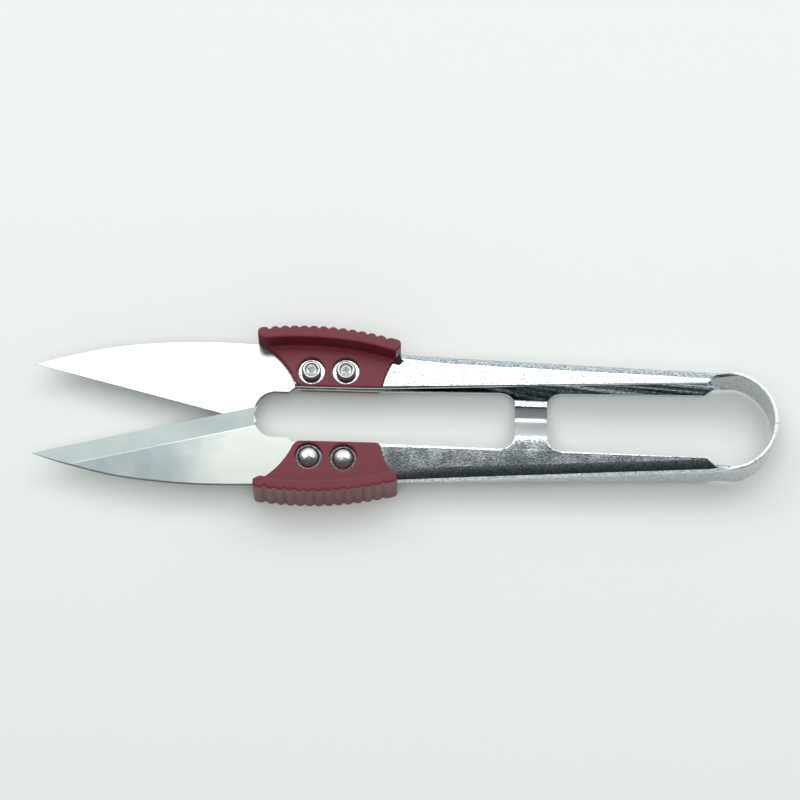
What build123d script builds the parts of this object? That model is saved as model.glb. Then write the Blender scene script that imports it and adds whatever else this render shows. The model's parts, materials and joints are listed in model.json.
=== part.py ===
from build123d import *
import math
import os

# Thread snips: one springy steel strip bent into a U carries two channel arms. Each arm holds a blade
# between its flanges with two rivets and wears a moulded grip. The two halves are the same shape: the
# finger half is the thumb half turned half a turn about the long axis (X). Millimetres, +Z up, tips at
# -X, bow at +X. The shapes are drawn about the mid plane of the strip and lifted onto the floor at the end.

# Whole object
HALF_LENGTH = 52.2
GRIP_HEIGHT = 9.0
LIFT = GRIP_HEIGHT / 2

# Steel strip
SHEET = 0.45
BEND_RADIUS = 0.9
BOW_HEIGHT = 7.5

# Blades: the two cutting planes meet on the mid plane
BLADE_THICKNESS = 0.98
BLADE_GAP = 0.04
BLADE_TOP = -BLADE_GAP / 2
BLADE_BOTTOM = BLADE_TOP - BLADE_THICKNESS
BLADE_SPACE = BLADE_THICKNESS + BLADE_GAP / 2
TIP = (-HALF_LENGTH, 6.49)
EDGE_SLOPE = 0.2433
NOTCH_CENTRE = (-18.2, 0.45)
NOTCH_RADIUS = 3.0
NOTCH_SIDE_DIRECTION = (-0.8, 0.6)
BEVEL_WIDTH = 2.9
EDGE_THICKNESS = 0.15
HEEL_RUN = 1.5
# The grinding cut runs past the blade by these lengths, sideways and beyond the tip
GRIND_PAST_EDGE = 1.0
GRIND_PAST_TIP = 5.0
NECK_POINTS = [(-16.4, 3.45), (-15.3, 4.35), (-4.2, 4.35), (-4.2, 8.05), (-15.9, 8.6), (-16.3, 10.1)]
SPINE_START = (-16.7, 10.1)
SPINE_POINTS = [(-26.4, 10.4), (-33.4, 10.2), (-40.5, 9.45), (-46.9, 8.05)]
SPINE_START_DIRECTION = (-1, 0.04)
SPINE_TIP_DIRECTION = (-1, -0.31)

# Channel arm: its outer wall leans in towards the bow, and it grows taller towards the bow
ARM_FRONT_X = -15.6
ARM_REAR_X = 44.4
ARM_REAR_Y = 7.15
ARM_LEAN = 0.0503
KNEE_X = -5.2
TALL_X = 43.3
FRONT_TOP = SHEET
FRONT_BOTTOM = -BLADE_SPACE - SHEET
REAR_HALF_HEIGHT = 3.85
FLANGE_FRONT_Y = 4.15
FLANGE_TURN_X = -3.2
FLANGE_CHAMFER_X = 42.3
FLANGE_CHAMFER_Y = 5.46
# Behind the chamfer the flange's outline runs just inside the wall, and it ends past the wall's outside
FLANGE_MARGIN_AT_CHAMFER = 0.05
FLANGE_MARGIN_AT_REAR = 0.15
FLANGE_PAST_WALL = 1.0
# The bar that hollows the channel runs this far past its open front, and past the long axis
CHANNEL_OVERRUN = 5.0

# Guide tab: a tongue of one flange, stepped to the mid plane, so that the two tongues slide on each other
TAB_X = 17.7
TAB_WIDTH = 4.5
TAB_ROOT_RADIUS = 2.0
TAB_STEP_OUTER_Y = 2.6
TAB_STEP_INNER_Y = 0.15
TAB_END_Y = -0.38
TAB_OVERLAP = 0.3
# The tongue is rooted inside the lower flange, out to this line and below this height
TAB_ROOT_Y = 6.0
TAB_FLANGE_TOP = -1.2

# Grip outline, seen from above
RIDGE_PEAK_RADIUS = 47.0
RIDGE_CENTRE_X = -13.9
RIDGE_CENTRE_Y = -35.0
RIDGE_HEIGHT = 0.35
RIDGE_ROUND = 0.75
RIDGE_PITCH = 1.35
RIDGE_FIRST_X = -18.45
RIDGE_COUNT = 13
RIM_WIDTH = 1.7
RIM_STEP = 0.3
PLATE = 0.75
GRIP_NOSE_X = -20.9
GRIP_REAR_X = -0.8
LOBE_LENGTH = 1.2
LOBE_RADIUS = 0.6
LOBE_RAMP = 0.3
NOSE_LOW = (GRIP_NOSE_X, 10.35)
FRONT_SIDE_MID = (-17.9, 8.2)
REAR_LOW = (GRIP_REAR_X, 9.3)
REAR_SIDE_MID = (-2.5, 6.85)
PAD_INNER_Y = 4.1
PAD_FRONT_X = -15.3
PAD_FRONT_RADIUS = 1.3
PAD_REAR_X = -3.3
PAD_REAR_RADIUS = 0.9

# Rivets
RIVET_POINTS = [(-13.3, 6.3), (-8.45, 6.4)]
SHANK_RADIUS = 1.0
HOLE_RADIUS = 1.88
HEAD_RADIUS = 1.55
HEAD_HEIGHT = 0.85
ROLL_RADIUS = 1.38
ROLL_HEIGHT = 1.25
ROLL_BORE = 0.55
HEAD_RIM = 0.2
DOME_SHOULDER_RADIUS = 0.66 * HEAD_RADIUS
DOME_SHOULDER_HEIGHT = 0.8 * HEAD_HEIGHT
ROLL_ROUND = 0.35
ROLL_LIP = 0.62
ROLL_LIP_DROP = ROLL_LIP / 3
RECESS_DEPTH = 0.75
PIP_RADIUS = 0.3
PIP_HEIGHT = 0.3

# Well past the part on every side
FAR = 60.0

# Picking out edges and corners: how near counts as at a place, and how straight as lengthwise
NEAR_SKIN = 0.1
AT_PLACE = 0.01
LENGTHWISE = 0.9


def arm_outer_y(x):
    return ARM_REAR_Y + ARM_LEAN * (ARM_REAR_X - x)


def arm_top_z(x):
    share = max(0.0, (x - KNEE_X) / (TALL_X - KNEE_X))
    return FRONT_TOP + share * (REAR_HALF_HEIGHT - FRONT_TOP)


def arm_bottom_z(x):
    share = max(0.0, (x - KNEE_X) / (TALL_X - KNEE_X))
    return FRONT_BOTTOM + share * (-REAR_HALF_HEIGHT - FRONT_BOTTOM)


def prism(face, low, high):
    return extrude(Plane.XY.offset(low) * face, amount=high - low)


def polygon(points):
    return make_face(Polyline(*points, close=True))


def plan_polygon(points, low, high):
    return prism(polygon(points), low, high)


def channel_block(inset, radius, front_x, inner_y):
    """A solid bar with the arm's taper, all its skins moved in by inset and its two outer edges rounded."""
    rear_x = ARM_REAR_X + inset
    profile = [
        (front_x, arm_top_z(front_x) - inset),
        (KNEE_X, arm_top_z(KNEE_X) - inset),
        (rear_x, arm_top_z(rear_x) - inset),
        (rear_x, arm_bottom_z(rear_x) + inset),
        (KNEE_X, arm_bottom_z(KNEE_X) + inset),
        (front_x, arm_bottom_z(front_x) + inset),
    ]
    side = extrude(Plane.XZ * polygon(profile), amount=FAR, both=True)
    plan = [
        (front_x, inner_y),
        (rear_x, inner_y),
        (rear_x, arm_outer_y(rear_x) - inset),
        (front_x, arm_outer_y(front_x) - inset),
    ]
    bar = side & plan_polygon(plan, -FAR, FAR)
    long_edges = [
        edge
        for edge in bar.edges()
        if edge.center().Y > arm_outer_y(edge.center().X) - inset - NEAR_SKIN
        and abs((edge % 0.5).X) > LENGTHWISE
    ]
    return fillet(long_edges, radius)


def flange_plan(with_tab):
    """Outline of a flange from above, with the chamfer that ends it at the bow."""
    wall_inner_y = arm_outer_y(FLANGE_CHAMFER_X) - SHEET
    chamfer = wall_inner_y - FLANGE_CHAMFER_Y
    past_wall_y = arm_outer_y(ARM_FRONT_X) + FLANGE_PAST_WALL
    outline = polygon(
        [
            (ARM_FRONT_X, FLANGE_FRONT_Y),
            (FLANGE_TURN_X, FLANGE_FRONT_Y),
            (FLANGE_CHAMFER_X, FLANGE_CHAMFER_Y),
            (FLANGE_CHAMFER_X + chamfer, wall_inner_y - FLANGE_MARGIN_AT_CHAMFER),
            (ARM_REAR_X, wall_inner_y - FLANGE_MARGIN_AT_REAR),
            (ARM_REAR_X, past_wall_y),
            (ARM_FRONT_X, past_wall_y),
        ]
    )
    if not with_tab:
        return outline
    tongue = polygon(
        [
            (TAB_X - TAB_WIDTH / 2, TAB_STEP_OUTER_Y),
            (TAB_X + TAB_WIDTH / 2, TAB_STEP_OUTER_Y),
            (TAB_X + TAB_WIDTH / 2, TAB_ROOT_Y),
            (TAB_X - TAB_WIDTH / 2, TAB_ROOT_Y),
        ]
    )
    joined = outline + tongue
    roots = [
        corner
        for corner in joined.vertices()
        if abs(abs(corner.X - TAB_X) - TAB_WIDTH / 2) < AT_PLACE and corner.Y > FLANGE_FRONT_Y
    ]
    return fillet(roots, TAB_ROOT_RADIUS)


def tab_step_section(x):
    """Section of the stepped end of the guide tab, in the plane across the arm at x."""
    low = arm_bottom_z(x)
    level = BLADE_TOP
    rise = level - SHEET - low
    run = TAB_STEP_OUTER_Y - TAB_STEP_INNER_Y
    shift = SHEET * math.tan(math.atan2(rise, run) / 2)
    points = [
        (TAB_STEP_OUTER_Y + TAB_OVERLAP, low + SHEET),
        (TAB_STEP_OUTER_Y, low + SHEET),
        (TAB_STEP_INNER_Y, level),
        (TAB_END_Y, level),
        (TAB_END_Y, level - SHEET),
        (TAB_STEP_INNER_Y - shift, level - SHEET),
        (TAB_STEP_OUTER_Y - shift, low),
        (TAB_STEP_OUTER_Y + TAB_OVERLAP, low),
    ]
    return Plane.YZ.offset(x) * polygon(points)


def rivet_shanks(radius):
    return [Pos(x, y, 0) * Cylinder(radius, 2 * FAR) for x, y in RIVET_POINTS]


def arm():
    outer = channel_block(0, BEND_RADIUS, ARM_FRONT_X, TAB_STEP_OUTER_Y)
    inner = channel_block(SHEET, BEND_RADIUS - SHEET, ARM_FRONT_X - CHANNEL_OVERRUN, -CHANNEL_OVERRUN)
    keep = prism(flange_plan(False), -FAR, FAR)
    keep += prism(flange_plan(True), -FAR, TAB_FLANGE_TOP)
    tab_sides = [tab_step_section(TAB_X - TAB_WIDTH / 2), tab_step_section(TAB_X + TAB_WIDTH / 2)]
    step = loft(tab_sides, ruled=True)
    sheet = ((outer - inner) & keep) + step
    return sheet - rivet_shanks(SHANK_RADIUS)


def edge_y(x):
    """Line of the cutting edge."""
    return TIP[1] - EDGE_SLOPE * (x - TIP[0])


def heel_point():
    """Where the cutting edge runs into the round notch behind it."""
    slope = -EDGE_SLOPE
    a = 1 + slope**2
    dy = edge_y(NOTCH_CENTRE[0]) - NOTCH_CENTRE[1]
    b = slope * dy
    x = NOTCH_CENTRE[0] + (-b - math.sqrt(b**2 - a * (dy**2 - NOTCH_RADIUS**2))) / a
    return (x, edge_y(x))


def blade_face():
    notch_x, notch_y = NOTCH_CENTRE
    heel = heel_point()
    side_x, side_y = NOTCH_SIDE_DIRECTION
    notch_side = (notch_x + NOTCH_RADIUS * side_x, notch_y + NOTCH_RADIUS * side_y)
    notch_top = (notch_x, notch_y + NOTCH_RADIUS)
    lines = [
        Line(TIP, heel),
        ThreePointArc(heel, notch_side, notch_top),
        Polyline(notch_top, *NECK_POINTS, SPINE_START),
        Spline(SPINE_START, *SPINE_POINTS, TIP, tangents=[SPINE_START_DIRECTION, SPINE_TIP_DIRECTION]),
    ]
    return make_face(lines)


def blade():
    body = prism(blade_face(), BLADE_BOTTOM, BLADE_TOP)
    # The bevel is ground on the face away from the other blade, along the whole cutting edge.
    rise = (BLADE_THICKNESS - EDGE_THICKNESS) / BEVEL_WIDTH
    wedge = polygon(
        [
            (BEVEL_WIDTH, BLADE_BOTTOM),
            (-GRIND_PAST_EDGE, BLADE_TOP - EDGE_THICKNESS + rise * GRIND_PAST_EDGE),
            (-GRIND_PAST_EDGE, BLADE_BOTTOM - GRIND_PAST_EDGE),
            (BEVEL_WIDTH, BLADE_BOTTOM - GRIND_PAST_EDGE),
        ]
    )
    heel = heel_point()
    across = Vector(EDGE_SLOPE, 1, 0).normalized()
    along = Vector(1, -EDGE_SLOPE, 0).normalized()
    start = Vector(*TIP, 0) - along * GRIND_PAST_TIP
    ground = Plane(origin=start, x_dir=across, z_dir=across.cross(Vector(0, 0, 1)))
    length = (Vector(*heel, 0) - start).length + HEEL_RUN
    if ground.z_dir.dot(along) < 0:
        length = -length
    body -= extrude(ground * wedge, amount=length)
    return body - rivet_shanks(SHANK_RADIUS)


def ridge_arc_point(x, depth):
    """Point on the grip's curved back at x, depth below the ridge tops."""
    radius = RIDGE_PEAK_RADIUS - depth
    return (x, RIDGE_CENTRE_Y + math.sqrt(radius**2 - (x - RIDGE_CENTRE_X) ** 2))


def corner_at(face, point):
    """The corner of a face nearest to a point."""
    return min(face.vertices(), key=lambda corner: math.dist((corner.X, corner.Y), point))


def grip_face():
    lobe_front = GRIP_NOSE_X + LOBE_LENGTH
    lobe_rear = GRIP_REAR_X - LOBE_LENGTH
    nose = ridge_arc_point(GRIP_NOSE_X, 0)
    rear = ridge_arc_point(GRIP_REAR_X, 0)
    valley_front = ridge_arc_point(lobe_front + LOBE_RAMP, RIDGE_HEIGHT)
    valley_rear = ridge_arc_point(lobe_rear - LOBE_RAMP, RIDGE_HEIGHT)
    pad_front = (PAD_FRONT_X, PAD_INNER_Y)
    pad_rear = (PAD_REAR_X, PAD_INNER_Y)
    outline = make_face(
        [
            Line(NOSE_LOW, nose),
            Polyline(nose, ridge_arc_point(lobe_front, 0), valley_front),
            ThreePointArc(valley_front, ridge_arc_point(RIDGE_CENTRE_X, RIDGE_HEIGHT), valley_rear),
            Polyline(valley_rear, ridge_arc_point(lobe_rear, 0), rear),
            Line(rear, REAR_LOW),
            ThreePointArc(REAR_LOW, REAR_SIDE_MID, pad_rear),
            Line(pad_rear, pad_front),
            ThreePointArc(pad_front, FRONT_SIDE_MID, NOSE_LOW),
        ]
    )
    for point, radius in (
        (pad_front, PAD_FRONT_RADIUS),
        (pad_rear, PAD_REAR_RADIUS),
        (nose, LOBE_RADIUS),
        (rear, LOBE_RADIUS),
    ):
        outline = fillet(corner_at(outline, point), radius)
    for number in range(RIDGE_COUNT):
        x, y = ridge_arc_point(RIDGE_FIRST_X + number * RIDGE_PITCH, RIDGE_ROUND)
        outline += Pos(x, y) * Circle(RIDGE_ROUND)
    return outline


def grip():
    body = prism(grip_face(), -GRIP_HEIGHT / 2, GRIP_HEIGHT / 2)
    # Above and below, everything inside the rim is cut down to the pads, with a leaning step.
    step_radius = RIDGE_PEAK_RADIUS - RIM_WIDTH
    pad_top = FRONT_TOP + PLATE
    pad_bottom = FRONT_BOTTOM - PLATE
    for pad_z, rim_z in ((pad_top, GRIP_HEIGHT / 2), (pad_bottom, -GRIP_HEIGHT / 2)):
        depth = abs(rim_z - pad_z)
        pocket = Cone(step_radius - RIM_STEP, step_radius, depth)
        if rim_z < 0:
            pocket = Rot(180, 0, 0) * pocket
        body -= Pos(RIDGE_CENTRE_X, RIDGE_CENTRE_Y, (pad_z + rim_z) / 2) * pocket
    # The slot for the arm runs out through the inner side, so the pads are two separate plates there.
    body -= channel_block(0, BEND_RADIUS, ARM_FRONT_X, 0)
    body -= prism(blade_face(), BLADE_BOTTOM, BLADE_TOP)
    return body - rivet_shanks(HOLE_RADIUS)


def rivet(x, y):
    """Semi-tubular rivet: domed head under the arm, rolled end above it with a recess and a pip."""
    roll_z = FRONT_TOP + ROLL_HEIGHT
    head_z = FRONT_BOTTOM
    dome_z = head_z - HEAD_HEIGHT
    recess_z = roll_z - RECESS_DEPTH
    head_rim = (HEAD_RADIUS, head_z - HEAD_RIM)
    roll_outside = (ROLL_RADIUS, roll_z - ROLL_ROUND)
    roll_inside = (ROLL_RADIUS - ROLL_LIP, roll_z - ROLL_LIP_DROP)
    profile = [
        ThreePointArc((0, dome_z), (DOME_SHOULDER_RADIUS, head_z - DOME_SHOULDER_HEIGHT), head_rim),
        Polyline(head_rim, (HEAD_RADIUS, head_z), (SHANK_RADIUS, head_z), (SHANK_RADIUS, FRONT_TOP),
                 (ROLL_RADIUS, FRONT_TOP), roll_outside),
        ThreePointArc(roll_outside, (ROLL_RADIUS - ROLL_ROUND, roll_z), roll_inside),
        Polyline(roll_inside, (ROLL_BORE, recess_z), (PIP_RADIUS, recess_z), (0, recess_z + PIP_HEIGHT),
                 (0, dome_z)),
    ]
    section = Plane.XZ * make_face(profile)
    return Pos(x, y, 0) * revolve(section, Axis.Z)


def spring_bow():
    """The plain strip between the two arms: two short straights and an arc, meeting the arms end to end."""
    lean = math.atan(ARM_LEAN)
    # The arc touches both leaning walls and reaches the end of the object.
    wall_at_zero = arm_outer_y(0)
    centre_x = (HALF_LENGTH - wall_at_zero * math.cos(lean)) / (1 - ARM_LEAN * math.cos(lean))
    loops = []
    for depth in (0, SHEET):
        radius = HALF_LENGTH - centre_x - depth
        touch = (centre_x + radius * math.sin(lean), radius * math.cos(lean))
        start = (ARM_REAR_X, touch[1] + ARM_LEAN * (touch[0] - ARM_REAR_X))
        loops.append((start, touch, radius))
    (start_out, touch_out, radius_out), (start_in, touch_in, radius_in) = loops

    def mirrored(point):
        return (point[0], -point[1])

    strip = make_face(
        [
            Line(start_out, touch_out),
            ThreePointArc(touch_out, (centre_x + radius_out, 0), mirrored(touch_out)),
            Line(mirrored(touch_out), mirrored(start_out)),
            Line(mirrored(start_out), mirrored(start_in)),
            Line(mirrored(start_in), mirrored(touch_in)),
            ThreePointArc(mirrored(touch_in), (centre_x + radius_in, 0), touch_in),
            Line(touch_in, start_in),
            Line(start_in, start_out),
        ]
    )
    return prism(strip, -BOW_HEIGHT / 2, BOW_HEIGHT / 2)


def write(name, shape):
    os.makedirs("parts", exist_ok=True)
    export_step(Pos(0, 0, LIFT) * shape, f"parts/{name}.step")


def main():
    half = {"arm": arm(), "blade": blade(), "grip": grip()}
    for place, (x, y) in zip(("front", "rear"), RIVET_POINTS):
        half[f"{place}_rivet"] = rivet(x, y)
    for name, shape in half.items():
        write(f"thumb_{name}", shape)
        write(f"finger_{name}", Rot(180, 0, 0) * shape)
    write("spring_bow", spring_bow())


main()
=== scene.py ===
import json
import math

import bmesh
import bpy
from mathutils import Matrix, Vector, noise


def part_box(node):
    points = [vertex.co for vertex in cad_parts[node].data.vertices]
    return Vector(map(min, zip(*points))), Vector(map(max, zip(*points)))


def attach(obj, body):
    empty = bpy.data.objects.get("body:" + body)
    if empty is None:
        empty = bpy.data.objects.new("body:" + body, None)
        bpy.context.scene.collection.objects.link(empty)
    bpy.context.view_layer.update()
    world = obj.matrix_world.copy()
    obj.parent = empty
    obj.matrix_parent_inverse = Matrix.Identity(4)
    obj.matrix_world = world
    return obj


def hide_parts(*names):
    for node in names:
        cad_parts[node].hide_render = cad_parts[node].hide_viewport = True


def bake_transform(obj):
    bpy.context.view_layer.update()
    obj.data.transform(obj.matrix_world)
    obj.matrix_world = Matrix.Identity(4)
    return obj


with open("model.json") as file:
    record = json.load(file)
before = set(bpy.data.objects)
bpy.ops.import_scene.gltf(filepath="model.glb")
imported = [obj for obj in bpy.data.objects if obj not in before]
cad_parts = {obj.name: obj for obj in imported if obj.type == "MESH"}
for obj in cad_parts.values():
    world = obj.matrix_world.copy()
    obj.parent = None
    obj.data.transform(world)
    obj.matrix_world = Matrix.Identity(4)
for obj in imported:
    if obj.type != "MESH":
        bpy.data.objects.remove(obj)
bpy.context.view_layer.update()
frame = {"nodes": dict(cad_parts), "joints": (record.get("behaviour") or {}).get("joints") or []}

# Shapes are worked out in millimetres, with z measured from the mid plane where the two blades meet.
# place() turns them into the frame's metres. Only the thumb half is shaped: the finger half is the
# same mesh turned half a turn about the long axis, as on the real thing.
MM = 0.001
MID_Z = frame["joints"][0]["pos_m"][2]
SIDES = ("thumb", "finger")


def node_box(name):
    """Lowest and highest corner of a CAD node in millimetres from the mid plane."""
    lift = Vector((0, 0, MID_Z))
    low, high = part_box(name)
    return (low - lift) / MM, (high - lift) / MM


ARM_LOW, ARM_HIGH = node_box("thumb_arm")
BOW_LOW, BOW_HIGH = node_box("spring_bow")
FRONT_TIP_X = node_box("thumb_blade")[0].x

# The cutting plane is the thumb blade's top face, just below the mid plane
BLADE_TOP = -0.02
BLADE_BOTTOM = -1.0

# Steel strip. Its ends and its lean come from the CAD nodes' boxes. A bend is a share of the channel's
# height up to the largest.
SHEET = 0.45
BEND_SHARE = 0.47
LARGEST_BEND = 1.55
FRONT_X = ARM_LOW.x
REAR_X = BOW_LOW.x
REAR_Y = BOW_HIGH.y
LEAN = (ARM_HIGH.y - REAR_Y) / (REAR_X - FRONT_X)
BOW_HALF_HEIGHT = BOW_HIGH.z
FRONT_TOP = SHEET
FRONT_BOTTOM = BLADE_BOTTOM - SHEET
TALL_HALF_HEIGHT = 3.85
KNEE_X = -5.2
TALL_X = 43.3
KNEE_ROUND = 1.5

# Flanges: their inner edge runs straight, then a chamfer ends them at the bow
FLANGE_FRONT_Y = 4.15
FLANGE_BREAK_X = -3.2
FLANGE_REAR_Y = 5.46
CHAMFER_X = 42.3

# Towards the bow the skin turns square to the leaning wall, and the bends flatten out
TURN_START = 38.0
TURN_END = 43.0
FLATTEN_END = 47.0

# Guide tab on the thumb half's lower flange
TAB_X = 17.7
TAB_HALF_WIDTH = 2.25
TAB_ROOT_RADIUS = 2.0
TAB_STEP_OUTER_Y = 2.6
TAB_STEP_INNER_Y = 0.15
TAB_END_Y = -0.38
TAB_END_Z = BLADE_TOP - SHEET
TAB_CORNER = 0.35
TAB_ROWS = 34
STEP_SOFTNESS = 0.04

# The satin patch that the tabs rub on each other reaches this far past their sides, and fades over this
RUBBED_PAST = 0.2
RUBBED_FADE = 0.1

# Blade, drawn for the thumb half
TIP = (FRONT_TIP_X, 6.49)
EDGE_SLOPE = 0.2433
NOTCH_CENTRE = (-18.2, 0.45)
NOTCH_RADIUS = 3.0
BEVEL_WIDTH = 2.9
EDGE_THICKNESS = 0.15
HEEL_RUN = 1.5
GRIND_PAST_EDGE = 1.0
GRIND_PAST_TIP = 5.0
NECK = [(-16.4, 3.45), (-15.3, 4.35), (-4.2, 4.35), (-4.2, 8.05), (-15.9, 8.6), (-16.3, 10.1)]
SPINE = [(-16.7, 10.1), (-26.4, 10.4), (-33.4, 10.2), (-40.5, 9.45), (-46.9, 8.05)]

# The upright share of a blade face's normal: the least on a flat face, the least on the bevel, and the
# most on a cut edge
FLAT_UPRIGHT = 0.99
BEVEL_UPRIGHT = 0.9
EDGE_UPRIGHT = 0.5

# How finely the strip is divided, across and then along it
WALL_PARTS = 6
BEND_PARTS = 9
FLANGE_PARTS = 12
PLAIN_STEP = 0.8
TAB_ROOT_STEP = 0.22
NEAR_CHAMFER_X = 39.0
NEAR_CHAMFER_STEP = 0.4
CHAMFER_STEP = 0.14
BOW_STEP_DEGREES = 1.5
BOW_LAST_DEGREES = 89.8

# How finely the blade's outline is divided
NOTCH_PARTS = 40
SPINE_PARTS = 14

# Edges are just broken by these widths
STRIP_BREAK = 0.07
BLADE_BREAK = 0.03
ON_AXIS = 0.05

# The grip's skin is remade from cubes of this size before it is softened
GRIP_VOXEL = 0.12

# Rivets: how finely their ends are curved, and how far they are out of round
DOME_PARTS = 5
ROLL_PARTS = 4
RIVET_WOBBLE = 0.035
RIVET_SEEDS = {"front": 3.1, "rear": 5.7}
SEED_PER_SIDE = 10


def place(obj, side):
    """Lifts a thumb-half mesh into the frame, or turns it over first for the finger half."""
    turn = Matrix.Rotation(math.pi if side == "finger" else 0.0, 4, "X")
    lift = Matrix.Translation((0, 0, MID_Z))
    obj.data.transform(lift @ Matrix.Scale(MM, 4) @ turn)
    obj.data.update()


def mesh_object(name, mesh_bm, material):
    mesh = bpy.data.meshes.new(name)
    mesh_bm.to_mesh(mesh)
    mesh_bm.free()
    obj = bpy.data.objects.new(name, mesh)
    bpy.context.scene.collection.objects.link(obj)
    mesh.materials.append(material)
    return obj


def apply_modifiers(obj):
    bpy.context.view_layer.update()
    graph = bpy.context.evaluated_depsgraph_get()
    made = bpy.data.meshes.new_from_object(obj.evaluated_get(graph))
    obj.modifiers.clear()
    old = obj.data
    obj.data = made
    bpy.data.meshes.remove(old)


def shade(obj, sharp_degrees):
    """Smooth shading that keeps edges sharper than the angle crisp."""
    for face in obj.data.polygons:
        face.use_smooth = True
    obj.data.set_sharp_from_angle(angle=math.radians(sharp_degrees))


def smoothstep(value, low, high):
    share = min(1.0, max(0.0, (value - low) / (high - low)))
    return share * share * (3 - 2 * share)


# ---------------------------------------------------------------- materials


class Nodes:
    """A short way to write a material's node tree."""

    def __init__(self, name):
        self.material = bpy.data.materials.new(name)
        self.material.use_nodes = True
        self.tree = self.material.node_tree
        self.shader = self.tree.nodes["Principled BSDF"]

    def add(self, kind, inputs=None, **settings):
        node = self.tree.nodes.new(kind)
        for key, value in settings.items():
            setattr(node, key, value)
        for key, value in (inputs or {}).items():
            self.set(node, key, value)
        return node

    def set(self, node, key, value):
        """Sets a socket, or links it where the value is another node's output."""
        if isinstance(value, bpy.types.NodeSocket):
            self.tree.links.new(value, node.inputs[key])
        else:
            node.inputs[key].default_value = value

    def coordinates(self, stretch=(1, 1, 1), turn=(0, 0, 0)):
        """Object coordinates in millimetres, stretched and turned."""
        source = self.add("ShaderNodeTexCoord").outputs["Object"]
        scale = [s / MM for s in stretch]
        turned = self.add("ShaderNodeVectorRotate", {"Vector": source, "Rotation": turn},
                          rotation_type="EULER_XYZ").outputs[0]
        return self.add("ShaderNodeMapping", {"Vector": turned, "Scale": scale}).outputs[0]

    def noise(self, vector, scale, detail=3.0, rough=0.5):
        inputs = {"Vector": vector, "Scale": scale, "Detail": detail, "Roughness": rough}
        return self.add("ShaderNodeTexNoise", inputs).outputs["Fac"]

    def remap(self, value, low, high, out_low, out_high):
        return self.add("ShaderNodeMapRange", {"Value": value, "From Min": low, "From Max": high,
                                               "To Min": out_low, "To Max": out_high}).outputs[0]

    def near_tab(self):
        """1 on the two guide tabs, which rub each other to a satin finish, and 0 elsewhere."""
        axes = self.add("ShaderNodeSeparateXYZ", {"Vector": self.coordinates()}).outputs
        x = self.add("ShaderNodeMath", {0: axes["X"], 1: TAB_X}, operation="SUBTRACT").outputs[0]
        masks = []
        for value, reach in ((x, TAB_HALF_WIDTH + RUBBED_PAST), (axes["Y"], TAB_STEP_OUTER_Y)):
            size = self.add("ShaderNodeMath", {0: value}, operation="ABSOLUTE").outputs[0]
            masks.append(self.remap(size, reach - RUBBED_FADE, reach + RUBBED_FADE, 1, 0))
        return self.add("ShaderNodeMath", {0: masks[0], 1: masks[1]}, operation="MULTIPLY").outputs[0]

    def mix(self, share, first, second):
        node = self.add("ShaderNodeMix", data_type="RGBA")
        for index, value in ((0, share), (6, first), (7, second)):
            if isinstance(value, bpy.types.NodeSocket):
                self.tree.links.new(value, node.inputs[index])
            else:
                node.inputs[index].default_value = value
        return node.outputs[2]

    def bump(self, height, depth_mm, strength=1.0, under=None):
        inputs = {"Height": height, "Distance": depth_mm * MM, "Strength": strength}
        if under is not None:
            inputs["Normal"] = under
        return self.add("ShaderNodeBump", inputs).outputs[0]


def srgb(red, green, blue):
    """A display colour, 0 to 255, as the linear colour that shaders take."""
    def linear(value):
        value /= 255
        return value / 12.92 if value <= 0.04045 else ((value + 0.055) / 1.055) ** 2.4
    return (linear(red), linear(green), linear(blue), 1.0)


def plated_steel():
    """Bright plating over rolled strip: nearly a mirror, gently wavy, with a fine speckle: grain in its
    bumps, and a dark speckle of painted reflection in its colour.
    """
    n = Nodes("plated_steel")
    plain = n.coordinates()
    rolled = n.coordinates((0.35, 1.0, 1.0))
    cloud = n.noise(plain, 0.35, 4.0)
    speckle = n.noise(rolled, 7.0, 2.0, 0.6)
    # The dark blue-grey speckle in the colour is painted reflection of a dark room, not the plating's own
    # colour
    painted_reflection_speckle = n.mix(n.remap(speckle, 0.35, 0.65, 0, 1), srgb(128, 145, 158), srgb(250, 251, 250))
    wave = n.bump(n.noise(plain, 0.22, 2.0), 0.006)
    grain = n.bump(speckle, 0.0004, under=wave)
    rubbed = n.near_tab()
    # On the guide tabs the painted speckle gives way to the plain bright plating colour
    colour = n.mix(rubbed, painted_reflection_speckle, srgb(250, 251, 250))
    n.set(n.shader, "Base Color", colour)
    n.set(n.shader, "Metallic", 1.0)
    polish = n.remap(cloud, 0.3, 0.7, 0.05, 0.09)
    satin = n.remap(rubbed, 0, 1, 0, 0.45)
    n.set(n.shader, "Roughness", n.add("ShaderNodeMath", {0: polish, 1: satin}, operation="ADD").outputs[0])
    n.set(n.shader, "Normal", grain)
    return n.material


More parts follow.
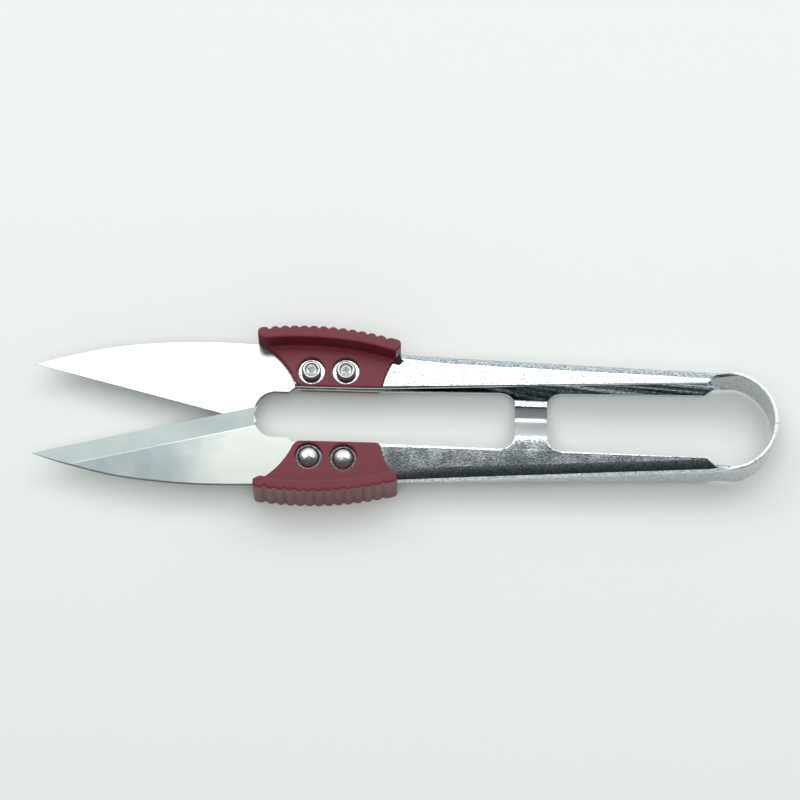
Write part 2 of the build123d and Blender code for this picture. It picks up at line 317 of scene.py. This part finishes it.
def ground_steel(name, direction, depth, roughness, dark, bright, painted_reflection_from=None):
    """Ground steel, scratched along a direction in radians about Z, cloudy from one colour to another.

    Given a pair of x positions in millimetres, it also brightens from the first to the second: a painted
    reflection in its colour, not a change in the steel.
    """
    n = Nodes(name)
    plain = n.coordinates()
    scratched = n.coordinates((0.12, 3.0, 3.0), (0, 0, -direction))
    cloud = n.noise(plain, 0.16, 3.0)
    streak = n.noise(scratched, 3.2, 4.0, 0.65)
    share = n.remap(cloud, 0.35, 0.65, 0, 1)
    if painted_reflection_from:
        # Painted reflection: the colour grows lighter along x, from the first position to the second
        x = n.add("ShaderNodeSeparateXYZ", {"Vector": plain}).outputs["X"]
        along = n.remap(x, *painted_reflection_from, 0, 1)
        faint = n.remap(share, 0, 1, 0, 0.3)
        share = n.add("ShaderNodeMath", {0: faint, 1: along}, operation="ADD", use_clamp=True).outputs[0]
    colour = n.mix(share, dark, bright)
    wave = n.bump(n.noise(plain, 0.12, 2.0), 0.012)
    cut = n.bump(streak, depth, under=wave)
    n.set(n.shader, "Base Color", colour)
    n.set(n.shader, "Metallic", 1.0)
    n.set(n.shader, "Roughness", n.remap(streak, 0.3, 0.7, roughness - 0.03, roughness + 0.03))
    n.set(n.shader, "Normal", cut)
    return n.material


def sheared_steel(name, dark, bright, painted_shade_share):
    """A cut edge of sheet: satin, with dark patches of painted shade where the noise rises above a share of
    its range.
    """
    n = Nodes(name)
    plain = n.coordinates()
    painted_shade_patch = n.remap(n.noise(plain, 1.6, 4.0, 0.6), painted_shade_share, painted_shade_share + 0.06, 0, 1)
    n.set(n.shader, "Base Color", n.mix(painted_shade_patch, bright, dark))
    n.set(n.shader, "Metallic", 1.0)
    n.set(n.shader, "Roughness", 0.34)
    n.set(n.shader, "Normal", n.bump(n.noise(plain, 6.0, 3.0), 0.004))
    return n.material


def grip_plastic():
    """Moulded maroon plastic with a satin skin: faint flow marks, fine grain and paler worn spots."""
    n = Nodes("grip_plastic")
    plain = n.coordinates()
    cloud = n.noise(plain, 0.3, 4.0)
    grain = n.noise(plain, 9.0, 3.0, 0.6)
    colour = n.mix(n.remap(cloud, 0.3, 0.7, 0, 1), srgb(103, 30, 43), srgb(112, 38, 52))
    swirl = n.bump(n.noise(plain, 0.8, 3.0), 0.006)
    skin = n.bump(grain, 0.0018, under=swirl)
    n.set(n.shader, "Base Color", colour)
    n.set(n.shader, "Roughness", n.remap(cloud, 0.3, 0.7, 0.36, 0.46))
    n.set(n.shader, "Specular IOR Level", 0.5)
    n.set(n.shader, "Normal", skin)
    return n.material


def rivet_metal():
    """Satin headed rivet metal, lightly dented by the riveting tool."""
    n = Nodes("rivet_metal")
    plain = n.coordinates()
    cloud = n.noise(plain, 1.3, 4.0)
    dents = n.bump(n.noise(plain, 1.5, 2.0), 0.03)
    grain = n.bump(n.noise(plain, 11.0, 2.0), 0.0018, under=dents)
    n.set(n.shader, "Base Color", n.mix(cloud, srgb(228, 229, 227), srgb(248, 248, 246)))
    n.set(n.shader, "Metallic", 1.0)
    n.set(n.shader, "Roughness", n.remap(cloud, 0.3, 0.7, 0.28, 0.38))
    n.set(n.shader, "Normal", grain)
    return n.material


def floor_paper():
    """Matt pale paper, a little darker towards the front: painted shade, as the light comes from behind."""
    n = Nodes("floor_paper")
    plain = n.coordinates()
    y = n.add("ShaderNodeSeparateXYZ", {"Vector": plain}).outputs["Y"]
    n.set(n.shader, "Base Color", n.mix(n.remap(y, -60, 40, 0, 1), srgb(222, 226, 224), srgb(232, 234, 230)))
    n.set(n.shader, "Roughness", 0.8)
    n.set(n.shader, "Specular IOR Level", 0.2)
    return n.material


# ---------------------------------------------------------------- strip


def outer_y(x):
    return REAR_Y + LEAN * (REAR_X - x)


def taper(x):
    """0 before the knee, then rising steadily to 1 where the arm is tallest, with a rounded knee."""
    run = x - KNEE_X
    return max(0.0, (run + math.sqrt(run * run + KNEE_ROUND**2)) / 2) / (TALL_X - KNEE_X)


def edge_height(x, top):
    front = FRONT_TOP if top else -FRONT_BOTTOM
    return front + taper(x) * (TALL_HALF_HEIGHT - front)


def bend_radius(x):
    """The bends open out as the channel grows taller."""
    return min(LARGEST_BEND, BEND_SHARE * (edge_height(x, True) + edge_height(x, False)))


def flange_y(x):
    share = max(0.0, (x - FLANGE_BREAK_X) / (CHAMFER_X - FLANGE_BREAK_X))
    return FLANGE_FRONT_Y + share * (FLANGE_REAR_Y - FLANGE_FRONT_Y)


def bow_circle():
    """Centre x and outer radius of the bow's arc, which touches the leaning walls."""
    lean = math.atan(LEAN)
    centre = (BOW_HIGH.x - outer_y(0) * math.cos(lean)) / (1 - LEAN * math.cos(lean))
    return centre, BOW_HIGH.x - centre


def spaced(low, high, step):
    count = max(1, round((high - low) / step))
    return [low + (high - low) * i / count for i in range(count)]


def strip_stations():
    """(s, x, y, inward x, inward y) along the outer skin, from the arm's front end to the middle of the bow.

    s is x along the arm, and goes on as length round the bow.
    """
    centre, radius = bow_circle()
    lean = math.atan(LEAN)
    touch = centre + radius * math.sin(lean)
    root = TAB_HALF_WIDTH + TAB_ROOT_RADIUS
    marks = spaced(FRONT_X, TAB_X - root, PLAIN_STEP)
    marks += spaced(TAB_X - root, TAB_X + root, TAB_ROOT_STEP)
    marks += spaced(TAB_X + root, NEAR_CHAMFER_X, PLAIN_STEP)
    marks += spaced(NEAR_CHAMFER_X, CHAMFER_X, NEAR_CHAMFER_STEP)
    marks += spaced(CHAMFER_X, touch, CHAMFER_STEP)
    rows = []
    for x in marks:
        turn = lean * smoothstep(x, TURN_START, TURN_END)
        rows.append((x, x, outer_y(x), -math.sin(turn), -math.cos(turn)))
    last = math.radians(BOW_LAST_DEGREES)
    for angle in spaced(lean, last, math.radians(BOW_STEP_DEGREES)) + [last, math.radians(90)]:
        s = touch + radius * (angle - lean)
        rows.append((s, centre + radius * math.sin(angle), radius * math.cos(angle),
                     -math.sin(angle), -math.cos(angle)))
    return rows


def flat_lengths(s, top):
    """Height of the flat wall, and the length of strip beyond it, round the bend and along the flange."""
    x = min(s, CHAMFER_X)
    radius = bend_radius(x)
    wall = edge_height(x, top) - radius
    flange = (math.pi / 2 - 1) * radius + outer_y(x) - flange_y(x)
    end = BOW_HALF_HEIGHT - wall
    if s > CHAMFER_X:
        flange = max(end, flange - (s - CHAMFER_X))
    return wall, flange


def side_points(s, top):
    """Half-height of the flat wall, and (inward distance, height) points from there to the flange's edge."""
    wall, length = flat_lengths(s, top)
    full = flat_lengths(min(s, CHAMFER_X), top)[1]
    radius = bend_radius(min(s, CHAMFER_X))
    bend = math.pi / 2 * radius
    stops = [bend * i / BEND_PARTS for i in range(1, BEND_PARTS + 1)]
    stops += [bend + (full - bend) * i / FLANGE_PARTS for i in range(1, FLANGE_PARTS + 1)]
    curl = (1 - smoothstep(s, CHAMFER_X, FLATTEN_END)) / radius
    points = []
    for stop in stops:
        v = stop * length / full
        curved = min(v, bend)
        angle = curl * curved
        if curl < 1e-6:
            inward, height = 0.0, curved
        else:
            inward, height = (1 - math.cos(angle)) / curl, math.sin(angle) / curl
        inward += (v - curved) * math.sin(angle)
        height += (v - curved) * math.cos(angle)
        points.append((inward, wall + height))
    return wall, points


def section(station):
    """Outer skin from the lower flange's edge round the wall to the upper flange's edge."""
    s, x, y, in_x, in_y = station
    low_wall, low = side_points(s, False)
    high_wall, high = side_points(s, True)
    profile = [(inward, -height) for inward, height in reversed(low)]
    profile += [(0.0, -low_wall + (low_wall + high_wall) * i / WALL_PARTS) for i in range(WALL_PARTS + 1)]
    profile += high
    return [(x + inward * in_x, y + inward * in_y, height) for inward, height in profile]


def soft_ramp(share):
    """0 to 1 with rounded corners."""
    def half(value):
        return (value + math.sqrt(value * value + STEP_SOFTNESS**2)) / 2
    return half(share) - half(share - 1)


def tab_point(edge, depth_share):
    """A point of the guide tab's skin, from the flange's edge (share 0) to the tab's end (share 1)."""
    depth = depth_share * (flange_y(TAB_X) - TAB_END_Y)
    left = flange_y(TAB_X) - TAB_END_Y - depth
    half_width = TAB_HALF_WIDTH
    if depth < TAB_ROOT_RADIUS:
        half_width += TAB_ROOT_RADIUS - math.sqrt(TAB_ROOT_RADIUS**2 - (TAB_ROOT_RADIUS - depth) ** 2)
    if left < TAB_CORNER:
        half_width -= TAB_CORNER - math.sqrt(TAB_CORNER**2 - (TAB_CORNER - left) ** 2)
    root = TAB_HALF_WIDTH + TAB_ROOT_RADIUS
    x = TAB_X + (edge[0] - TAB_X) / root * half_width
    y = edge[1] + (TAB_END_Y - edge[1]) * depth_share
    flat = -edge_height(x, False)
    drop = soft_ramp((TAB_STEP_OUTER_Y - y) / (TAB_STEP_OUTER_Y - TAB_STEP_INNER_Y))
    return (x, y, flat + (TAB_END_Z - flat) * drop)


def strip_skin():
    """The strip's outer skin as one open sheet, with its guide tab."""
    bm = bmesh.new()
    stations = strip_stations()
    grid = [[bm.verts.new(point) for point in section(station)] for station in stations]
    for here, there in zip(grid, grid[1:]):
        for j in range(len(here) - 1):
            bm.faces.new((here[j], here[j + 1], there[j + 1], there[j]))
    root = TAB_HALF_WIDTH + TAB_ROOT_RADIUS + 1e-6
    edge = [verts[0] for verts, station in zip(grid, stations) if abs(station[1] - TAB_X) <= root]
    row = edge
    for step in range(1, TAB_ROWS + 1):
        below = [bm.verts.new(tab_point(vert.co, step / TAB_ROWS)) for vert in edge]
        for i in range(len(row) - 1):
            bm.faces.new((row[i], row[i + 1], below[i + 1], below[i]))
        row = below
    return bm


def round_edges(obj, width, degrees, spare=None):
    """Rounds every edge sharper than the angle, except those that spare() names."""
    bm = bmesh.new()
    bm.from_mesh(obj.data)
    edges = [e for e in bm.edges if len(e.link_faces) == 2
             and e.calc_face_angle() > math.radians(degrees) and not (spare and spare(e))]
    bmesh.ops.bevel(bm, geom=edges, offset=width, segments=2, profile=0.5, affect="EDGES", clamp_overlap=True)
    bm.to_mesh(obj.data)
    bm.free()


def on_bow_middle(edge):
    """Whether an edge lies where the two halves of the bow meet, which has to stay sharp."""
    return all(abs(vert.co.y) < ON_AXIS and vert.co.x > REAR_X for vert in edge.verts)


def make_strip(side, material, edge_material):
    """One channel arm with its half of the bow, folded from one sheet."""
    obj = mesh_object(f"{side}_strip", strip_skin(), material)
    obj.data.materials.append(edge_material)
    sheet = obj.modifiers.new("sheet", "SOLIDIFY")
    sheet.thickness = SHEET
    sheet.offset = -1
    sheet.use_even_offset = True
    sheet.material_offset_rim = 1
    apply_modifiers(obj)
    round_edges(obj, STRIP_BREAK, 55, spare=on_bow_middle)
    shade(obj, 50)
    place(obj, side)
    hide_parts(f"{side}_arm", "spring_bow")
    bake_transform(obj)


# ---------------------------------------------------------------- blades and grips


def cad_copy(node, name, material):
    """A welded copy of a CAD node's mesh, its flat faces whole again, in millimetres from the mid plane."""
    bm = bmesh.new()
    bm.from_mesh(frame["nodes"][node].data)
    bmesh.ops.translate(bm, verts=bm.verts, vec=(0, 0, -MID_Z))
    bmesh.ops.scale(bm, verts=bm.verts, vec=(1 / MM,) * 3)
    bmesh.ops.remove_doubles(bm, verts=bm.verts, dist=0.002)
    bmesh.ops.dissolve_limit(bm, angle_limit=math.radians(1), verts=bm.verts, edges=bm.edges)
    return mesh_object(name, bm, material)


def blended(p, q, r, s, t):
    """Catmull-Rom value a share t of the way from q to r."""
    squared = (2 * p - 5 * q + 4 * r - s) * t * t
    cubed = (3 * q - p - 3 * r + s) * t**3
    return 0.5 * (2 * q + (r - p) * t + squared + cubed)


def curve_through(points, parts):
    """A smooth line through the points, by Catmull-Rom."""
    line = []
    ends = [points[0]] + points + [points[-1]]
    for near in zip(ends, ends[1:], ends[2:], ends[3:]):
        for i in range(parts):
            line.append(tuple(blended(*values, i / parts) for values in zip(*near)))
    line.append(points[-1])
    return line


def heel_point():
    """Where the straight cutting edge runs into the round notch."""
    rise = TIP[1] - EDGE_SLOPE * (NOTCH_CENTRE[0] - TIP[0]) - NOTCH_CENTRE[1]
    a = 1 + EDGE_SLOPE**2
    b = -EDGE_SLOPE * rise
    run = (-b - math.sqrt(b * b - a * (rise * rise - NOTCH_RADIUS**2))) / a
    return NOTCH_CENTRE[0] + run, TIP[1] - EDGE_SLOPE * (NOTCH_CENTRE[0] + run - TIP[0])


def blade_outline():
    """From the tip along the cutting edge, round the notch, and back by the neck and the spine."""
    centre_x, centre_y = NOTCH_CENTRE
    heel_x, heel_y = heel_point()
    start = math.atan2(heel_y - centre_y, heel_x - centre_x) % (2 * math.pi)
    points = [TIP]
    for i in range(NOTCH_PARTS + 1):
        angle = start + (math.pi / 2 - start) * i / NOTCH_PARTS
        points.append((centre_x + NOTCH_RADIUS * math.cos(angle), centre_y + NOTCH_RADIUS * math.sin(angle)))
    points += NECK + curve_through(SPINE + [TIP], SPINE_PARTS)[:-1]
    return points


def slab(outline, low, high):
    """A straight-sided solid between two heights."""
    bm = bmesh.new()
    face = bm.faces.new([bm.verts.new((x, y, low)) for x, y in outline])
    pushed = bmesh.ops.extrude_face_region(bm, geom=[face])["geom"]
    raised = [item for item in pushed if isinstance(item, bmesh.types.BMVert)]
    bmesh.ops.translate(bm, verts=raised, vec=(0, 0, high - low))
    bmesh.ops.recalc_face_normals(bm, faces=bm.faces)
    return bm


def bevel_cutter(material):
    """The wedge that the grinding takes off under the cutting edge."""
    turn = math.atan(EDGE_SLOPE)
    along = Vector((math.cos(turn), -math.sin(turn), 0))
    across = Vector((math.sin(turn), math.cos(turn), 0))
    rise = (BLADE_TOP - EDGE_THICKNESS - BLADE_BOTTOM) / BEVEL_WIDTH
    corners = [(BEVEL_WIDTH, BLADE_BOTTOM),
               (-GRIND_PAST_EDGE, BLADE_TOP - EDGE_THICKNESS + rise * GRIND_PAST_EDGE),
               (-GRIND_PAST_EDGE, BLADE_BOTTOM - GRIND_PAST_EDGE),
               (BEVEL_WIDTH, BLADE_BOTTOM - GRIND_PAST_EDGE)]
    start = Vector((*TIP, 0)) - along * GRIND_PAST_TIP
    stop = Vector((*heel_point(), 0)) + along * HEEL_RUN
    bm = bmesh.new()
    ends = []
    for end in (start, stop):
        ends.append([bm.verts.new(end + across * a + Vector((0, 0, z))) for a, z in corners])
    bm.faces.new(ends[0])
    bm.faces.new(list(reversed(ends[1])))
    for i in range(4):
        j = (i + 1) % 4
        bm.faces.new((ends[0][i], ends[0][j], ends[1][j], ends[1][i]))
    bmesh.ops.recalc_face_normals(bm, faces=bm.faces)
    return mesh_object("bevel_cutter", bm, material)


def blade_finish(upright):
    """Which of the blade's four finishes a face takes: 0 outer, 1 bevel, 2 cutting, 3 edge."""
    if upright > FLAT_UPRIGHT:
        return 2
    if abs(upright) < EDGE_UPRIGHT:
        return 3
    return 1 if BEVEL_UPRIGHT < abs(upright) < FLAT_UPRIGHT else 0


def make_blade(side, outer_steel, bevel_steel, cutting_steel, edge_steel):
    """The blade, with the ground bevel in its own finish and every edge just broken."""
    obj = mesh_object(f"{side}_blade_ground", slab(blade_outline(), BLADE_BOTTOM, BLADE_TOP), outer_steel)
    cutter = bevel_cutter(outer_steel)
    ground = obj.modifiers.new("ground", "BOOLEAN")
    ground.operation = "DIFFERENCE"
    ground.solver = "EXACT"
    ground.object = cutter
    apply_modifiers(obj)
    bpy.data.objects.remove(cutter)
    obj.data.materials.clear()
    for steel in (outer_steel, bevel_steel, cutting_steel, edge_steel):
        obj.data.materials.append(steel)
    for face in obj.data.polygons:
        face.material_index = blade_finish(face.normal.z)
    round_edges(obj, BLADE_BREAK, 12)
    shade(obj, 9)
    place(obj, side)
    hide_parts(f"{side}_blade")
    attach(obj, f"{side}_side")


def make_grip(side, material):
    """The moulded grip: every edge softened as a mould leaves it.

    Its mesh comes from its own side's CAD node, so it is lifted back as it is and never turned over.
    """
    obj = cad_copy(f"{side}_grip", f"{side}_grip_moulded", material)
    remesh = obj.modifiers.new("skin", "REMESH")
    remesh.mode = "VOXEL"
    remesh.voxel_size = GRIP_VOXEL
    remesh.use_smooth_shade = True
    smooth = obj.modifiers.new("soften", "SMOOTH")
    smooth.factor = 0.5
    smooth.iterations = 4
    apply_modifiers(obj)
    shade(obj, 80)
    place(obj, "thumb")
    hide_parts(f"{side}_grip")
    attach(obj, f"{side}_side")


# ---------------------------------------------------------------- rivets


def lathe(profile, centre, segments=56, wobble=0.0, seed=0.0):
    """A turned solid from (radius, height) points that start and end on the axis."""
    bm = bmesh.new()
    rings = []
    for radius, height in profile[1:-1]:
        ring = []
        for i in range(segments):
            angle = 2 * math.pi * i / segments
            spot = Vector((math.cos(angle), math.sin(angle), height + seed))
            reach = radius * (1 + wobble * noise.noise(spot * 1.3))
            lift = height + wobble * noise.noise(spot * 1.9 + Vector((7, 0, 0)))
            ring.append(bm.verts.new((centre[0] + reach * spot.x, centre[1] + reach * spot.y, lift)))
        rings.append(ring)
    for low, high in zip(rings, rings[1:]):
        for i in range(segments):
            j = (i + 1) % segments
            bm.faces.new((low[i], low[j], high[j], high[i]))
    for ring, (_, height) in ((rings[0], profile[0]), (rings[-1], profile[-1])):
        tip = bm.verts.new((centre[0], centre[1], height))
        for i in range(segments):
            bm.faces.new((ring[i], ring[(i + 1) % segments], tip))
    bmesh.ops.recalc_face_normals(bm, faces=bm.faces)
    return bm


def make_rivet(side, place_name, material, seed):
    """Semi-tubular rivet: a domed head under the thumb arm, and a rolled, hollow end on top."""
    low, high = node_box(f"thumb_{place_name}_rivet")
    centre = ((low.x + high.x) / 2, (low.y + high.y) / 2)
    head_radius = (high.x - low.x) / 2
    dome = curve_through([(0, low.z), (0.42, low.z + 0.03), (0.86, low.z + 0.15), (1.24, low.z + 0.38),
                          (head_radius - 0.07, low.z + 0.66), (head_radius, low.z + 0.8)], DOME_PARTS)
    shank = [(head_radius - 0.04, FRONT_BOTTOM), (1.0, FRONT_BOTTOM), (1.0, FRONT_TOP - 0.1)]
    top = high.z
    roll = curve_through([(1.1, FRONT_TOP), (1.29, FRONT_TOP + 0.3), (1.38, FRONT_TOP + 0.72),
                          (1.35, top - 0.2), (1.2, top - 0.03), (1.0, top),
                          (0.84, top - 0.1), (0.73, top - 0.33), (0.62, top - 0.58), (0.46, top - 0.7),
                          (0.36, top - 0.62), (0.25, top - 0.47), (0.1, top - 0.41), (0, top - 0.4)],
                         ROLL_PARTS)
    bm = lathe(dome + shank + roll, centre, wobble=RIVET_WOBBLE, seed=seed)
    obj = mesh_object(f"{side}_{place_name}_rivet_formed", bm, material)
    shade(obj, 60)
    place(obj, side)
    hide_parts(f"{side}_{place_name}_rivet")
    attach(obj, f"{side}_side")


# ---------------------------------------------------------------- studio


# What shiny surfaces mirror: (world y of the direction, brightness), from the front to behind
ROOM_STOPS = [(-1.0, 0.04), (-0.2, 0.09), (0.26, 0.17), (0.5, 0.5), (1.0, 0.95)]
AMBIENT = 0.34
ROOM_LIGHT = (0.90, 0.97, 0.98)
ROOM_TINT = (0.9, 0.99, 1.02)
FLOOR_HALF_SIZE = 1.5

# Lights, in metres and watts
SOFT_BOX_X = 0.05
SOFT_BOX_FRONT_Y = 0.264
SOFT_BOX_HEIGHT = 1.0
SOFT_BOX_WIDTH = 1.9
SOFT_BOX_DEPTH = 0.6
SOFT_BOX_POWER = 7.6
FILL_PLACE = (0.0, -0.15, 1.3)
FILL_SIZE = (1.0, 1.0)
FILL_POWER = 9.2

# Camera: lens and sensor in millimetres, the rest in metres and degrees
SENSOR_WIDTH = 36
LENS = 208
CAMERA_TARGET = (-0.00075, 0.0027, MID_Z)
CAMERA_DISTANCE = 0.65
CAMERA_ELEVATION = 74.9
CAMERA_YAW = 1.62


def make_camera():
    data = bpy.data.cameras.new("camera")
    data.sensor_width = SENSOR_WIDTH
    data.lens = LENS
    data.clip_start = 0.01
    data.clip_end = 10
    camera = bpy.data.objects.new("camera", data)
    bpy.context.scene.collection.objects.link(camera)
    bpy.context.scene.camera = camera
    elevation = math.radians(CAMERA_ELEVATION)
    yaw = math.radians(CAMERA_YAW)
    level = math.cos(elevation)
    back = Vector((math.sin(yaw) * level, -math.cos(yaw) * level, math.sin(elevation)))
    camera.location = Vector(CAMERA_TARGET) + back * CAMERA_DISTANCE
    camera.rotation_mode = "QUATERNION"
    camera.rotation_quaternion = (-back).to_track_quat("-Z", "Y")


def area_light(name, location, target, size, power, glossy=True):
    data = bpy.data.lights.new(name, "AREA")
    data.shape = "RECTANGLE"
    data.size, data.size_y = size
    data.energy = power
    light = bpy.data.objects.new(name, data)
    bpy.context.scene.collection.objects.link(light)
    aim = (Vector(target) - Vector(location)).to_track_quat("-Z", "Y")
    light.rotation_mode = "QUATERNION"
    light.rotation_quaternion = aim
    light.location = location
    light.visible_camera = False
    light.visible_glossy = glossy


def make_room():
    """Even pale light for matt surfaces. Shiny ones mirror a room that is dark in front and bright behind."""
    world = bpy.data.worlds.new("room")
    world.use_nodes = True
    tree = world.node_tree
    even = tree.nodes["Background"]
    even.inputs["Color"].default_value = (*ROOM_LIGHT, 1)
    even.inputs["Strength"].default_value = AMBIENT
    direction = tree.nodes.new("ShaderNodeTexCoord").outputs["Generated"]
    split = tree.nodes.new("ShaderNodeSeparateXYZ")
    tree.links.new(direction, split.inputs[0])
    share = tree.nodes.new("ShaderNodeMapRange")
    share.inputs["From Min"].default_value = -1.0
    tree.links.new(split.outputs["Y"], share.inputs["Value"])
    ramp = tree.nodes.new("ShaderNodeValToRGB")
    tree.links.new(share.outputs[0], ramp.inputs[0])
    for stop in ROOM_STOPS[1:-1]:
        ramp.color_ramp.elements.new((stop[0] + 1) / 2)
    for element, (place_y, grey) in zip(ramp.color_ramp.elements, ROOM_STOPS):
        element.position = (place_y + 1) / 2
        element.color = (*(grey * tint for tint in ROOM_TINT), 1)
    mirrored = tree.nodes.new("ShaderNodeBackground")
    tree.links.new(ramp.outputs[0], mirrored.inputs["Color"])
    rays = tree.nodes.new("ShaderNodeLightPath")
    blend = tree.nodes.new("ShaderNodeMixShader")
    tree.links.new(rays.outputs["Is Glossy Ray"], blend.inputs[0])
    tree.links.new(even.outputs[0], blend.inputs[1])
    tree.links.new(mirrored.outputs[0], blend.inputs[2])
    tree.links.new(blend.outputs[0], tree.nodes["World Output"].inputs["Surface"])
    bpy.context.scene.world = world


def make_studio():
    """A big soft box overhead and behind, whose front edge is what the far arm mirrors, and a pale room."""
    bm = bmesh.new()
    bmesh.ops.create_grid(bm, x_segments=8, y_segments=8, size=FLOOR_HALF_SIZE)
    floor = mesh_object("floor", bm, floor_paper())
    middle = (SOFT_BOX_X, SOFT_BOX_FRONT_Y + SOFT_BOX_DEPTH / 2)
    soft_box_size = (SOFT_BOX_WIDTH, SOFT_BOX_DEPTH)
    area_light("soft_box", (*middle, SOFT_BOX_HEIGHT), (*middle, 0.0), soft_box_size, SOFT_BOX_POWER)
    area_light("top_fill", FILL_PLACE, (0, 0, 0), FILL_SIZE, FILL_POWER, glossy=False)
    make_room()
    bpy.context.scene.view_settings.view_transform = "Standard"


def main():
    plated = plated_steel()
    # The outer face grows lighter towards the grip: painted reflection
    outer_steel = ground_steel("blade_outer", 0.0, 0.0006, 0.22,
                               srgb(162, 173, 177), srgb(226, 230, 224), painted_reflection_from=(-33, -24))
    bevel_steel = ground_steel("blade_bevel", math.radians(62), 0.0022, 0.3,
                               srgb(176, 184, 182), srgb(190, 198, 195))
    cutting_steel = ground_steel("blade_cutting", 0.0, 0.0005, 0.24,
                                 srgb(248, 250, 249), srgb(254, 254, 253))
    # The strip's cut edges get dark patches: painted shade
    strip_edge = sheared_steel("strip_edge", srgb(70, 78, 80), srgb(226, 231, 230), 0.62)
    # Both colours of the blade's cut edges are dark: painted shade along the spine and the cutting edge
    blade_edge = sheared_steel("blade_edge", srgb(50, 56, 58), srgb(84, 92, 94), 0.55)
    plastic = grip_plastic()
    rivet_steel = rivet_metal()
    for number, side in enumerate(SIDES):
        make_strip(side, plated, strip_edge)
        make_blade(side, outer_steel, bevel_steel, cutting_steel, blade_edge)
        make_grip(side, plastic)
        for place_name, seed in RIVET_SEEDS.items():
            make_rivet(side, place_name, rivet_steel, seed + SEED_PER_SIDE * number)
    make_camera()
    make_studio()


main()
